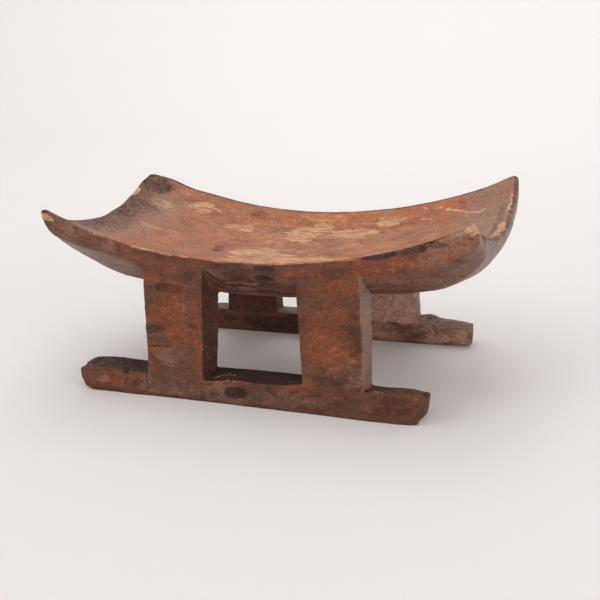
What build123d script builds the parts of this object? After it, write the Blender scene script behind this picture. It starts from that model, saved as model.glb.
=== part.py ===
"""Low carved stool: a curved dish of a seat on two sledge-footed frames.

Millimetres. X runs along the seat, Y runs from the front frame to the rear
frame, Z is up. The origin is on the floor, under the middle of the seat.

The stool is worked from one block, so no joint, peg or glue line holds it
together. The nodes are the forms that the carver cuts out of the block: the
seat and, for each frame, a runner and two posts. They meet face to face.
"""

from build123d import *

import os
from math import pi, sin, sqrt

os.makedirs("parts", exist_ok=True)

# Seat, seen from above
seat_length = 362.0
seat_width = 180.0

# Dish: its floor and its long rims curve about one axis, high above the seat
rim_height = 119.0
rim_radius = 447.0
dish_depth = 23.0
long_rim_bevel = 2.0
end_rim_bevel = 4.0
worn_tip_radius = 13.0

# Hull: keel, knuckles and side bands curve about a higher axis than the dish
keel_height = 79.0
keel_radius = 707.0
side_band = 9.0
bilge_depth = 23.0
bilge_rounding = 9.0

# Bows: how far from each end a line of the hull starts to rise, and how much
keel_bow_length = 30.0
left_knuckle_bow_length = 70.0
right_knuckle_bow_length = 54.0
band_bow_length = 16.0
bow_rise = 20.0
band_bow_rise = 14.0
stations_each_way = 10

# Frames: two plates that start flush with the long sides of the seat and
# stand out from them towards the floor
frame_thickness = 19.5
sill_height = 21.5
outer_splay = 3.6
front_inner_splay = 0.0
rear_inner_splay = 2.8

# Posts: where each stands at the foot, and how far its head leans along X
post_width = 51.0
front_post_flare = 2.5
rear_post_flare = 1.0
front_left_post_x = -71.2
front_left_post_lean = 4.8
front_right_post_x = 66.3
front_right_post_lean = -1.2
rear_left_post_x = -71.8
rear_left_post_lean = 3.5
rear_right_post_x = 67.5
rear_right_post_lean = -1.5

# Noses: the left ends of the runners, bevelled above and below
nose_reach = 163.0
nose_skew = 6.0
nose_height = 15.0
nose_bevel = 11.0
nose_bevel_drop = 4.0
nose_lift = 2.5
nose_toe = 14.0

# Heels: the right ends of the runners, cut nearly upright
front_heel_reach = 135.5
front_heel_skew = 4.5
front_heel_lift = 0.8
front_heel_toe = 4.0
rear_heel_reach = 142.5
rear_heel_skew = 2.0
rear_heel_lift = 3.5
rear_heel_toe = 45.0
heel_height = 16.5
heel_bevel = 12.0
heel_bevel_drop = 2.5
heel_undercut = 1.3

# Sizes that follow from the ones above
half_length = seat_length / 2
half_width = seat_width / 2
inner_face = half_width - frame_thickness
band_bottom = rim_height - side_band
knuckle_height = band_bottom - bilge_depth
dish_axis_height = rim_height + rim_radius
hull_axis_height = keel_height + keel_radius
tip_height = dish_axis_height - sqrt(rim_radius**2 - half_length**2)
blank_top = tip_height + side_band


def hull_line(x, middle_height, bow_length, rise):
    """Height at x of a line of the hull that is at middle_height at mid-length.

    The line is an arc about the hull's axis. Over the last bow_length it also
    rises, on a quarter of an ellipse, so that it meets the end upright.
    """
    arc = hull_axis_height - sqrt((hull_axis_height - middle_height) ** 2 - x**2)
    into_bow = max(0.0, abs(x) - (half_length - bow_length)) / bow_length
    return arc + rise * (1 - sqrt(1 - min(1.0, into_bow) ** 2))


# The block after the hull is shaped and before the dish is cut. The hull is
# lofted through cross-sections that crowd towards the bows. Its bilges run on
# past the sides of the block, which trim them to the side bands.
with BuildPart() as hull_blank:
    for station in range(-stations_each_way, stations_each_way + 1):
        x = half_length * sin(station / stations_each_way * pi / 2)
        keel = hull_line(x, keel_height, keel_bow_length, bow_rise)
        knuckle_bow_length = left_knuckle_bow_length if x < 0 else right_knuckle_bow_length
        knuckle = hull_line(x, knuckle_height, knuckle_bow_length, bow_rise)
        band = hull_line(x, band_bottom, band_bow_length, band_bow_rise)
        past_side = half_width + frame_thickness
        past_band = band + (band - knuckle)
        with BuildSketch(Plane.YZ.offset(x)) as section:
            with BuildLine():
                bottom = ThreePointArc((-inner_face, knuckle), (0, keel), (inner_face, knuckle))
                Polyline(
                    bottom @ 1,
                    (past_side, past_band),
                    (past_side, blank_top + seat_width),
                    (-past_side, blank_top + seat_width),
                    (-past_side, past_band),
                    bottom @ 0,
                )
            make_face()
            fillet(section.vertices().group_by(Axis.Y)[0], bilge_rounding)
    loft()
    with BuildSketch():
        Rectangle(2 * seat_length, seat_width)
    extrude(amount=blank_top, mode=Mode.INTERSECT)


# Seat: the blank with the dish scooped out and its rims bevelled
with BuildPart() as seat:
    add(hull_blank.part)
    with BuildSketch(Plane.YZ):
        with BuildLine():
            dish = ThreePointArc(
                (-half_width, rim_height), (0, rim_height - dish_depth), (half_width, rim_height)
            )
            Polyline(
                dish @ 1,
                (seat_width, rim_height),
                (seat_width, dish_axis_height),
                (-seat_width, dish_axis_height),
                (-seat_width, rim_height),
                dish @ 0,
            )
        make_face()
    revolve(axis=Axis((0, 0, dish_axis_height), (0, 1, 0)), mode=Mode.SUBTRACT)
    end_edges = seat.edges().group_by(Axis.X)
    left_rim = end_edges[0].sort_by(SortBy.LENGTH)[-1]
    right_rim = end_edges[-1].sort_by(SortBy.LENGTH)[-1]
    chamfer([left_rim, right_rim], end_rim_bevel)
    long_rims = seat.edges().filter_by(GeomType.CIRCLE).sort_by(SortBy.LENGTH)[-2:]
    chamfer(long_rims, long_rim_bevel)
    # The rear left tip is worn to a broad round
    with BuildSketch():
        with Locations((-half_length, half_width)):
            Rectangle(2 * worn_tip_radius, 2 * worn_tip_radius)
        with Locations((worn_tip_radius - half_length, half_width - worn_tip_radius)):
            Circle(worn_tip_radius, mode=Mode.SUBTRACT)
    extrude(amount=blank_top, mode=Mode.SUBTRACT)

seat.part.label = "seat"
export_step(seat.part, "parts/seat.step")


def post(side, foot_x, lean, flare, inner_splay):
    """A post between its runner and the hull. side is -1 at the front, 1 at the rear.

    The face towards the inside of the stool is wider than the outer face by
    the flare, and the head is fitted to the slope of the hull.
    """
    with BuildPart() as upright:
        for height in (sill_height, blank_top):
            climb = (height - sill_height) / (band_bottom - sill_height)
            left = foot_x - post_width / 2 + lean * climb
            right = left + post_width
            outer = side * (half_width + outer_splay * (1 - climb))
            inner = side * (inner_face + inner_splay * (1 - climb))
            with BuildSketch(Plane.XY.offset(height)):
                with BuildLine():
                    Polyline(
                        (left, outer),
                        (right, outer),
                        (right + flare, inner),
                        (left, inner),
                        close=True,
                    )
                make_face()
        loft(ruled=True)
        add(hull_blank.part, mode=Mode.SUBTRACT)
    return upright


front_left_post = post(
    -1, front_left_post_x, front_left_post_lean, front_post_flare, front_inner_splay
)
front_left_post.part.label = "front_left_post"
export_step(front_left_post.part, "parts/front_left_post.step")

front_right_post = post(
    -1, front_right_post_x, front_right_post_lean, front_post_flare, front_inner_splay
)
front_right_post.part.label = "front_right_post"
export_step(front_right_post.part, "parts/front_right_post.step")

rear_left_post = post(
    1, rear_left_post_x, rear_left_post_lean, rear_post_flare, rear_inner_splay
)
rear_left_post.part.label = "rear_left_post"
export_step(rear_left_post.part, "parts/rear_left_post.step")

rear_right_post = post(
    1, rear_right_post_x, rear_right_post_lean, rear_post_flare, rear_inner_splay
)
rear_right_post.part.label = "rear_right_post"
export_step(rear_right_post.part, "parts/rear_right_post.step")


def runner(
    side, left_post_x, right_post_x, flare, inner_splay, heel_reach, heel_skew, heel_lift, heel_toe
):
    """A sledge runner under two posts. side is -1 at the front, 1 at the rear.

    Its side view is cut through the whole thickness, then its ends are cut
    askew, so that they reach further on the face towards the inside of the
    stool. Its toes lift clear of the floor.
    """
    nose = -nose_reach - nose_skew
    heel = heel_reach + heel_skew
    outer = side * (half_width + outer_splay)
    inner = side * (inner_face + inner_splay)
    with BuildPart() as sledge:
        with BuildSketch(Plane.XZ):
            with BuildLine():
                Polyline(
                    (nose, nose_height),
                    (nose + nose_bevel, nose_height + nose_bevel_drop),
                    (left_post_x - post_width / 2, sill_height),
                    (right_post_x + post_width / 2 + flare, sill_height),
                    (heel_reach - heel_bevel, heel_height + heel_bevel_drop),
                    (heel, heel_height),
                    (heel_reach - heel_undercut, heel_lift),
                    (heel_reach - heel_undercut - heel_toe, 0),
                    (nose + nose_toe, 0),
                    (nose + nose_lift, nose_lift),
                    close=True,
                )
            make_face()
        extrude(amount=seat_width, both=True)
        with BuildSketch():
            with BuildLine():
                Polyline(
                    (-nose_reach, outer),
                    (heel_reach, outer),
                    (heel, inner),
                    (nose, inner),
                    close=True,
                )
            make_face()
        extrude(amount=sill_height, mode=Mode.INTERSECT)
    return sledge


front_runner = runner(
    -1,
    front_left_post_x,
    front_right_post_x,
    front_post_flare,
    front_inner_splay,
    front_heel_reach,
    front_heel_skew,
    front_heel_lift,
    front_heel_toe,
)
front_runner.part.label = "front_runner"
export_step(front_runner.part, "parts/front_runner.step")

rear_runner = runner(
    1,
    rear_left_post_x,
    rear_right_post_x,
    rear_post_flare,
    rear_inner_splay,
    rear_heel_reach,
    rear_heel_skew,
    rear_heel_lift,
    rear_heel_toe,
)
rear_runner.part.label = "rear_runner"
export_step(rear_runner.part, "parts/rear_runner.step")
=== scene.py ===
"""Carved stool: the hand-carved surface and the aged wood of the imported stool.

The seven solids of the frame are worked from one block of wood, so one skin is
drawn over all of them, carved and stained, and then parted again into seven
closed pieces along the borders of the solids. Grain, tool marks and stains run
on from piece to piece, as they do in the block.

The frame is in metres: X along the stool, Y from the front frame to the rear
frame, Z up, origin on the floor. Marks and stains are placed in millimetres in
the same frame, and MM turns them into metres.
"""

import logging
import math
from dataclasses import dataclass, field
from enum import Enum
from typing import ClassVar

import bpy
import numpy as np
from mathutils import Matrix, Vector
from mathutils.bvhtree import BVHTree


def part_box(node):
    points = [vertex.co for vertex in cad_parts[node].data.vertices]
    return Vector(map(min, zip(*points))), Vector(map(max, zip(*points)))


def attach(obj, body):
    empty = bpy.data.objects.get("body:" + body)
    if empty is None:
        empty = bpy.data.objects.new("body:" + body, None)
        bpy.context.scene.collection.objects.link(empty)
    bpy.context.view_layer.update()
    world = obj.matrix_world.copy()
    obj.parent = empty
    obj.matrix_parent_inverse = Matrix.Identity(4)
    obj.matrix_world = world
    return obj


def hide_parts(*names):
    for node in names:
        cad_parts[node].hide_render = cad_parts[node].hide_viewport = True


log = logging.getLogger("carved_stool")

MM = 0.001
ROOT = "root"
WOOD_SLOT = "carved_wood"

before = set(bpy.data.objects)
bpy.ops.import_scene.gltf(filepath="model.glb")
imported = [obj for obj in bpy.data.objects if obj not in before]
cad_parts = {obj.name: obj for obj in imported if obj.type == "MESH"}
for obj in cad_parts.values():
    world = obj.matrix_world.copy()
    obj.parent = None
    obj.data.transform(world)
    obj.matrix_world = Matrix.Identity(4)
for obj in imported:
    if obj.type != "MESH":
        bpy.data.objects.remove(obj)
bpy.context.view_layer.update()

Triple = tuple[float, float, float]
Colour = tuple[float, float, float, float]
Socket = bpy.types.NodeSocket


def read_all(items: bpy.types.bpy_prop_collection, name: str, width: int, kind: type = int) -> np.ndarray:
    """Read one property of every item of a mesh.

    Args:
        items: Its vertices, edges, loops or polygons.
        name: The property.
        width: How many numbers each item has.
        kind: Type of the numbers.

    Returns:
        The numbers, shape (n, width).
    """
    values = np.zeros(len(items) * width, kind)
    items.foreach_get(name, values)
    return values.reshape(-1, width)


def put_in_scene(name: str, data: bpy.types.ID) -> bpy.types.Object:
    """Make an object of a mesh, light or camera and put it in the scene.

    Args:
        name: What it is called.
        data: Its mesh, light or camera.

    Returns:
        The object.
    """
    made = bpy.data.objects.new(name, data)
    bpy.context.scene.collection.objects.link(made)
    return made


# ---------------------------------------------------------------------------
# Noise for carving and staining
# ---------------------------------------------------------------------------

HASH_PRIMES = (73856093, 19349663, 83492791)
SEED_PRIME = 2654435761
MIXING_PRIME = 1274126177
HASH_RANGE = 0xFFFFFF


def lattice_hash(cells: np.ndarray, seed: int) -> np.ndarray:
    """Give every lattice cell a fixed number between 0 and 1.

    Args:
        cells: Whole-number coordinates, shape (n, 3).
        seed: Picks one of many unlike hashes.

    Returns:
        One number for each cell, shape (n,).
    """
    x, y, z = (cells[:, axis].astype(np.int64) * prime for axis, prime in enumerate(HASH_PRIMES))
    mixed = x ^ y ^ z ^ (seed * SEED_PRIME)
    mixed = (mixed ^ (mixed >> 13)) * MIXING_PRIME
    mixed = (mixed ^ (mixed >> 16)) & HASH_RANGE
    return mixed / float(HASH_RANGE)


def value_noise(points: np.ndarray, seed: int) -> np.ndarray:
    """Smooth noise between -1 and 1 on a unit lattice.

    Args:
        points: Coordinates in lattice units, shape (n, 3).
        seed: Picks the noise.

    Returns:
        One value for each point, shape (n,).
    """
    base = np.floor(points)
    within = points - base
    eased = within * within * (3.0 - 2.0 * within)
    total = np.zeros(len(points))
    for corner in range(8):
        step = np.array([corner & 1, corner >> 1 & 1, corner >> 2 & 1])
        weight = np.prod(np.where(step, eased, 1.0 - eased), axis=1)
        total += weight * lattice_hash(base + step, seed)
    return total * 2.0 - 1.0


def layered_noise(points: np.ndarray, size: Triple, seed: int, octaves: int = 3) -> np.ndarray:
    """Several octaves of smooth noise.

    Args:
        points: Coordinates in metres, shape (n, 3).
        size: Size in millimetres of the largest bumps along X, Y and Z.
        seed: Picks the noise.
        octaves: How many layers, each half the size and strength of the last.

    Returns:
        One value between about -1 and 1 for each point.
    """
    total = np.zeros(len(points))
    reach = 0.0
    for octave in range(octaves):
        strength = 0.5**octave
        places = points / (np.array(size) * MM) * 2.0**octave
        total += strength * value_noise(places, seed + octave)
        reach += strength
    return total / reach


def tool_facets(points: np.ndarray, size: Triple, seed: int) -> np.ndarray:
    """Shallow scoops side by side, as an adze leaves them.

    Args:
        points: Coordinates in metres, shape (n, 3).
        size: Length in millimetres of one scoop along X, Y and Z.
        seed: Picks the pattern.

    Returns:
        0 at the bottom of a scoop, rising to about 1 at the ridge to the next.
    """
    scaled = points / (np.array(size) * MM)
    base = np.floor(scaled)
    nearest = np.full(len(points), 9.0)
    for shift in np.ndindex(3, 3, 3):
        cell = base + np.array(shift) - 1
        centre = cell + np.stack([lattice_hash(cell, seed + axis) for axis in range(3)], axis=1)
        nearest = np.minimum(nearest, ((scaled - centre) ** 2).sum(axis=1))
    return np.clip(nearest, 0.0, 1.0)


def ramp(value: np.ndarray, low: float, high: float) -> np.ndarray:
    """Ease from 0 at low to 1 at high. low may be the larger."""
    along = np.clip((value - low) / (high - low), 0.0, 1.0)
    return along * along * (3.0 - 2.0 * along)


# ---------------------------------------------------------------------------
# The skin over the whole block
# ---------------------------------------------------------------------------


class Layer(Enum):
    """A stain or state of the surface, held as one number for each vertex. The grey and the pale layers
    carry painted light as well.
    """

    DISH = "dish"
    WORN = "worn"
    RUST = "rust"
    SOOT = "soot"
    ASH = "ash"
    BARE = "bare"
    STONE = "stone"
    POLISH = "polish"
    PITS = "pits"
    CUT = "cut"


DISH, WORN, RUST, SOOT, ASH, BARE, STONE, POLISH, PITS, CUT = Layer


@dataclass
class Skin:
    """The surface of the whole stool, before it is parted into pieces.

    Attributes:
        points: Vertex coordinates, shape (n, 3).
        quads: Vertex numbers of each face, shape (m, 4).
        edges: Vertex numbers of each edge, shape (k, 2).
        owners: For each face, the place of its node in node_names.
        node_names: The nodes of the frame, in the order that owners uses.
        rest: Vertex coordinates before carving.
        normals: Outward unit normal at each vertex, before carving.
        layers: For each layer, one number for each vertex.
    """

    points: np.ndarray
    quads: np.ndarray
    edges: np.ndarray
    owners: np.ndarray
    node_names: list[str]
    rest: np.ndarray = field(init=False)
    normals: np.ndarray = field(init=False)
    layers: dict[Layer, np.ndarray] = field(init=False)

    def __post_init__(self) -> None:
        """Keep the shape as it is before carving, and start every layer at 0."""
        self.rest = self.points.copy()
        self.normals = self.find_normals()
        self.layers = {layer: np.zeros(len(self.points)) for layer in Layer}

    def find_normals(self) -> np.ndarray:
        """Work out which way the skin faces.

        Returns:
            Outward unit normal at each vertex, shape (n, 3).
        """
        a, b, c, d = (self.points[self.quads[:, i]] for i in range(4))
        face = np.cross(c - a, d - b)
        total = np.zeros_like(self.points)
        for corner in range(4):
            for axis in range(3):
                total[:, axis] += np.bincount(self.quads[:, corner], face[:, axis], len(self.points))
        return total / np.maximum(np.linalg.norm(total, axis=1, keepdims=True), 1e-12)

    def spread(self, values: np.ndarray, passes: int) -> np.ndarray:
        """Average values over neighbouring vertices.

        Args:
            values: One number, or one row of numbers, for each vertex.
            passes: How often each vertex takes the mean of its neighbours.

        Returns:
            The averaged values.
        """
        start, end = self.edges.T
        count = np.bincount(start, minlength=len(values)) + np.bincount(end, minlength=len(values))
        columns = values.reshape(len(values), -1).copy()
        for _ in range(passes):
            for axis in range(columns.shape[1]):
                column = columns[:, axis]
                total = np.bincount(start, column[end], len(column))
                total += np.bincount(end, column[start], len(column))
                columns[:, axis] = (column + total) / (1 + count)
        return columns.reshape(values.shape)

    def wear_edges(self, passes: int) -> None:
        """Round the outer edges. Inner corners stay crisp, because wear only takes wood away.

        Args:
            passes: How often the edges are rubbed.
        """
        for _ in range(passes):
            change = self.spread(self.points, 1) - self.points
            outward = (change * self.normals).sum(axis=1, keepdims=True)
            self.points = self.points + self.normals * np.minimum(outward, 0.0)

    def bend(self, passes: int) -> np.ndarray:
        """How strongly the rest shape bends: above 0 on outer edges, below 0 in inner corners.

        Args:
            passes: How far the result spreads from the edges.

        Returns:
            One number for each vertex, about -1 to 1.
        """
        change = self.spread(self.rest, 1) - self.rest
        outward = -(change * self.normals).sum(axis=1)
        sharpest = 0.1 * MM
        return np.clip(self.spread(outward, passes) / sharpest, -1.0, 1.0)

    def paint(self, layer: Layer, amount: np.ndarray) -> None:
        """Lay a stain over what the layer already holds, keeping the stronger one."""
        self.layers[layer] = np.maximum(self.layers[layer], amount)


@dataclass
class SkinMaker:
    """Draws one closed skin over the nodes of the frame.

    Attributes:
        cell: Size of one face of the skin, in metres.
        wear_passes: How often the outer edges are rubbed.
        margin: How far past the box of a node its faces may lie, in metres.
    """

    cell: float = 0.8 * MM
    wear_passes: int = 3
    margin: float = 3.0 * MM

    @staticmethod
    def joined_mesh() -> bpy.types.Mesh:
        """Put all nodes of the frame into one mesh.

        Returns:
            A mesh of loose closed shells, one for each node.
        """
        points: list[list[float]] = []
        polygons: list[list[int]] = []
        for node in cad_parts.values():
            start = len(points)
            points.extend([list(vertex.co) for vertex in node.data.vertices])
            polygons.extend([[start + v for v in polygon.vertices] for polygon in node.data.polygons])
        mesh = bpy.data.meshes.new("block")
        mesh.from_pydata(points, [], polygons)
        return mesh

    def remeshed(self) -> bpy.types.Mesh:
        """Draw an even skin of small square faces over the block.

        Returns:
            The mesh of the skin.
        """
        block = put_in_scene("block", self.joined_mesh())
        remesh = block.modifiers.new("skin", "REMESH")
        remesh.mode = "VOXEL"
        remesh.voxel_size = self.cell * 1
        remesh.adaptivity = 0.0
        bpy.context.view_layer.update()
        evaluated = block.evaluated_get(bpy.context.evaluated_depsgraph_get())
        mesh = bpy.data.meshes.new_from_object(evaluated)
        bpy.data.objects.remove(block)
        return mesh

    def make(self) -> Skin:
        """Build the skin and say which node each of its faces belongs to.

        Returns:
            The skin, with its outer edges rubbed.
        """
        mesh = self.remeshed()
        points = read_all(mesh.vertices, "co", 3, float)
        quads = read_all(mesh.polygons, "vertices", 4)
        edges = read_all(mesh.edges, "vertices", 2)
        names = sorted(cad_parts)
        owners = self.nearest_nodes(points[quads].mean(axis=1), names)
        skin = Skin(points, quads, edges, owners, names)
        skin.wear_edges(self.wear_passes)
        log.info("skin: %d faces", len(quads))
        return skin

    def nearest_nodes(self, centres: np.ndarray, names: list[str]) -> np.ndarray:
        """Find the node of the frame that each face of the skin lies on.

        Args:
            centres: Middle of each face, shape (n, 3).
            names: The nodes to choose from.

        Returns:
            The place in names of the nearest node, for each face.
        """
        best = np.full(len(centres), np.inf)
        owners = np.zeros(len(centres), int)
        inside = np.zeros((len(names), len(centres)), bool)
        for place, name in enumerate(names):
            low, high = (np.array(corner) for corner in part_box(name))
            above, below = centres > low - self.margin, centres < high + self.margin
            inside[place] = np.all(above & below, axis=1)
        shared = inside.sum(axis=0) > 1
        for place, name in enumerate(names):
            owners[inside[place] & ~shared] = place
            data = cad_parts[name].data
            points = [vertex.co for vertex in data.vertices]
            tree = BVHTree.FromPolygons(points, [list(polygon.vertices) for polygon in data.polygons])
            for index in np.flatnonzero(inside[place] & shared):
                distance = tree.find_nearest(centres[index])[3]
                if distance < best[index]:
                    best[index] = distance
                    owners[index] = place
        return owners


# ---------------------------------------------------------------------------
# Stains and marks
# ---------------------------------------------------------------------------


class Mark:
    """A mark on the skin.

    Attributes:
        leading: How many fields come before its triples of numbers.
        triples: How many triples it has.
    """

    leading: ClassVar[int] = 1
    triples: ClassVar[int] = 2

    @classmethod
    def table(cls, *rows: tuple) -> tuple:
        """Make one mark from each row.

        Args:
            *rows: The fields of a mark in order, triples written out number by number.

        Returns:
            The marks.
        """
        marks = []
        for row in rows:
            end = cls.leading + 3 * cls.triples
            triples = (row[at : at + 3] for at in range(cls.leading, end, 3))
            marks.append(cls(*row[: cls.leading], *triples, *row[end:]))
        return tuple(marks)


@dataclass(frozen=True)
class Stain(Mark):
    """A ragged patch of one layer.

    Attributes:
        layer: What the patch is.
        centre: Its middle, in millimetres.
        reach: How far it reaches along X, Y and Z, in millimetres.
        strength: The layer's value in the middle of the patch.
        ragged: How strongly noise breaks its border.
        slope: Rise along Z for each millimetre along X.
        tatter: Size in millimetres of the noise that breaks its border.
        limit: Share of its reach past which nothing is laid.
        outer_border: Share of its reach at which it fades out.
        inner_border: Share of its reach within which it is whole.
    """

    layer: Layer
    centre: Triple
    reach: Triple
    strength: float = 1.0
    ragged: float = 0.35
    slope: float = 0.0

    tatter: ClassVar[Triple] = (14, 6, 6)
    limit: ClassVar[float] = 1.6
    outer_border: ClassVar[float] = 1.1
    inner_border: ClassVar[float] = 0.55

    def lay(self, skin: Skin, seed: int) -> None:
        """Add the patch to the skin.

        Args:
            skin: The skin to stain.
            seed: Picks the raggedness.
        """
        away = skin.rest / MM - np.array(self.centre)
        away[:, 2] -= self.slope * away[:, 0]
        distance = np.linalg.norm(away / np.array(self.reach), axis=1)
        near = distance < self.limit
        amount = np.zeros(len(distance))
        noise = layered_noise(skin.rest[near], self.tatter, seed)
        border = distance[near] + self.ragged * noise
        amount[near] = self.strength * ramp(border, self.outer_border, self.inner_border)
        skin.paint(self.layer, amount)


@dataclass(frozen=True)
class Stroke(Mark):
    """A thin scratch, crack or cut along a straight line.

    Attributes:
        layer: What shows in it.
        start: One end, in millimetres.
        end: The other end, in millimetres.
        width: Its width at the start, in millimetres. It is half as wide at the end.
        depth: How deep it is cut, in millimetres.
        strength: The layer's value in it.
        bends: How many times its line wanders up and down.
        wander: How far it does, in millimetres.
    """

    layer: Layer
    start: Triple
    end: Triple
    width: float = 1.6
    depth: float = 0.3
    strength: float = 1.0

    bends: ClassVar[float] = 6.0
    wander: ClassVar[float] = 0.6

    def lay(self, skin: Skin, seed: int) -> None:
        """Cut the stroke into the skin.

        Args:
            skin: The skin to mark.
            seed: Picks how the line wanders.
        """
        start, end = np.array(self.start) * MM, np.array(self.end) * MM
        run = end - start
        along = np.clip(((skin.rest - start) @ run) / (run @ run), 0.0, 1.0)
        line = start + along[:, None] * run
        places = np.stack([along * self.bends, along * 0 + seed, along * 0], axis=1)
        line[:, 2] += value_noise(places, seed) * self.wander * MM
        distance = np.linalg.norm(skin.rest - line, axis=1) / MM
        amount = ramp(distance, self.width * (1.0 - 0.5 * along), self.width * 0.25)
        skin.paint(self.layer, amount * self.strength)
        skin.points -= skin.normals * (amount * self.depth * MM)[:, None]


@dataclass(frozen=True)
class Nudge(Mark):
    """A soft push on the wood around one place.

    Attributes:
        centre: Where the push is strongest, in millimetres.
        reach: How far it reaches along X, Y and Z, in millimetres.
        shift: How far the wood moves there, in millimetres.
        rough: How uneven the push is.
    """

    centre: Triple
    reach: Triple
    shift: Triple
    rough: float = 0.0

    leading: ClassVar[int] = 0
    triples: ClassVar[int] = 3

    def push(self, skin: Skin) -> None:
        """Move the wood of the skin.

        Args:
            skin: The skin to push.
        """
        away = (skin.rest / MM - np.array(self.centre)) / np.array(self.reach)
        weight = ramp(np.linalg.norm(away, axis=1), 1, 0)
        weight *= 1.0 + self.rough * layered_noise(skin.rest, (6, 6, 6), seed=91, octaves=2)
        skin.points += weight[:, None] * np.array(self.shift) * MM


# ---------------------------------------------------------------------------
# The pieces
# ---------------------------------------------------------------------------

# Height in millimetres over which the skin belongs to the seat
SEAT_BOTTOM = 90


def open_borders(faces: list[tuple[int, ...]]) -> list[list[int]]:
    """Find the border loops of a set of faces.

    Args:
        faces: Vertex numbers of each face.

    Returns:
        Each loop as vertex numbers, in the order that closing faces need.
    """
    used: set[tuple[int, int]] = set()
    for face in faces:
        used.update(zip(face, face[1:] + face[:1]))
    following: dict[int, list[int]] = {}
    for start, end in used:
        if (end, start) not in used:
            following.setdefault(end, []).append(start)
    loops = []
    while following:
        first = next(iter(following))
        loop = [first]
        while True:
            choices = following[loop[-1]]
            after = choices.pop()
            if not choices:
                del following[loop[-1]]
            if after == first:
                break
            loop.append(after)
        loops.append(loop)
    return loops


@dataclass
class Piece:
    """One named form of the stool.

    Attributes:
        node: The node of the frame that the piece replaces.
        nudges: Where its form was worn or left over.
        stains: Patches of its own.
        strokes: Cracks, cuts and scratches of its own.
        stain_seeds: First seed of its stains, for each letter of the node's name.
        stroke_seeds: First seed of its strokes, for each letter.
    """

    node: str
    nudges: tuple[Nudge, ...] = ()
    stains: tuple[Stain, ...] = ()
    strokes: tuple[Stroke, ...] = ()

    stain_seeds: ClassVar[int] = 20
    stroke_seeds: ClassVar[int] = 30

    @property
    def title(self) -> str:
        """What a person calls it."""
        return self.node.replace("_", " ")

    def carve(self, skin: Skin) -> None:
        """Push the wood where the piece's own form asks for it."""
        for nudge in self.nudges:
            nudge.push(skin)

    def stain(self, skin: Skin) -> None:
        """Lay the piece's own stains and strokes, with seeds that follow from its name.

        Args:
            skin: The skin to stain.
        """
        for seed, stain in enumerate(self.stains, self.stain_seeds * len(self.node)):
            stain.lay(skin, seed)
        for seed, stroke in enumerate(self.strokes, self.stroke_seeds * len(self.node)):
            stroke.lay(skin, seed)

    def build(self, skin: Skin, material: bpy.types.Material) -> bpy.types.Object:
        """Part the piece from the skin, close it and dress it.

        Args:
            skin: The carved and stained skin of the whole stool.
            material: The wood.

        Returns:
            The finished object, which rides on the root body.
        """
        quads = skin.quads[skin.owners == skin.node_names.index(self.node)]
        kept, renumbered = np.unique(quads, return_inverse=True)
        faces = [tuple(face) for face in renumbered.reshape(-1, 4).tolist()]
        outside = len(faces)
        points = skin.points[kept].tolist()
        stains = {layer: skin.layers[layer][kept].tolist() for layer in Layer}
        for loop in open_borders(faces):
            points.append(np.mean([points[v] for v in loop], axis=0).tolist())
            for values in stains.values():
                values.append(0.0)
            hub = len(points) - 1
            faces.extend((a, b, hub) for a, b in zip(loop, loop[1:] + loop[:1]))
        mesh = bpy.data.meshes.new(self.node)
        mesh.from_pydata(points, [], faces)
        mesh.materials.append(material)
        mesh.polygons.foreach_set("use_smooth", [True] * len(faces))
        for layer, values in stains.items():
            mesh.attributes.new(layer.value, "FLOAT", "POINT").data.foreach_set("value", values)
        self.sharpen_borders(mesh, outside)
        piece = put_in_scene("carved_" + self.node, mesh)
        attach(piece, ROOT)
        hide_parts(self.node)
        log.info("%s: %d faces, %d of them close its borders", self.title, len(faces), len(faces) - outside)
        return piece

    @staticmethod
    def sharpen_borders(mesh: bpy.types.Mesh, outside: int) -> None:
        """Keep the hidden closing faces out of the shading of the outer ones.

        Args:
            mesh: The closed mesh of a piece.
            outside: How many of its first faces are on the outside.
        """
        corners = read_all(mesh.loops, "edge_index", 1)[:, 0]
        totals = read_all(mesh.polygons, "loop_total", 1)[:, 0]
        hidden = np.repeat(np.arange(len(totals)) >= outside, totals)
        outer_count = np.bincount(corners[~hidden], minlength=len(mesh.edges))
        hidden_count = np.bincount(corners[hidden], minlength=len(mesh.edges))
        sharp = mesh.attributes.new("sharp_edge", "BOOLEAN", "EDGE")
        sharp.data.foreach_set("value", (outer_count > 0) & (hidden_count > 0))


def read_along(x: np.ndarray, rows: tuple) -> list[np.ndarray]:
    """Read the columns of a table at x. Its first column is a place along X."""
    places, *columns = np.array(rows).T
    return [np.interp(x, places, column) for column in columns]


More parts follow.
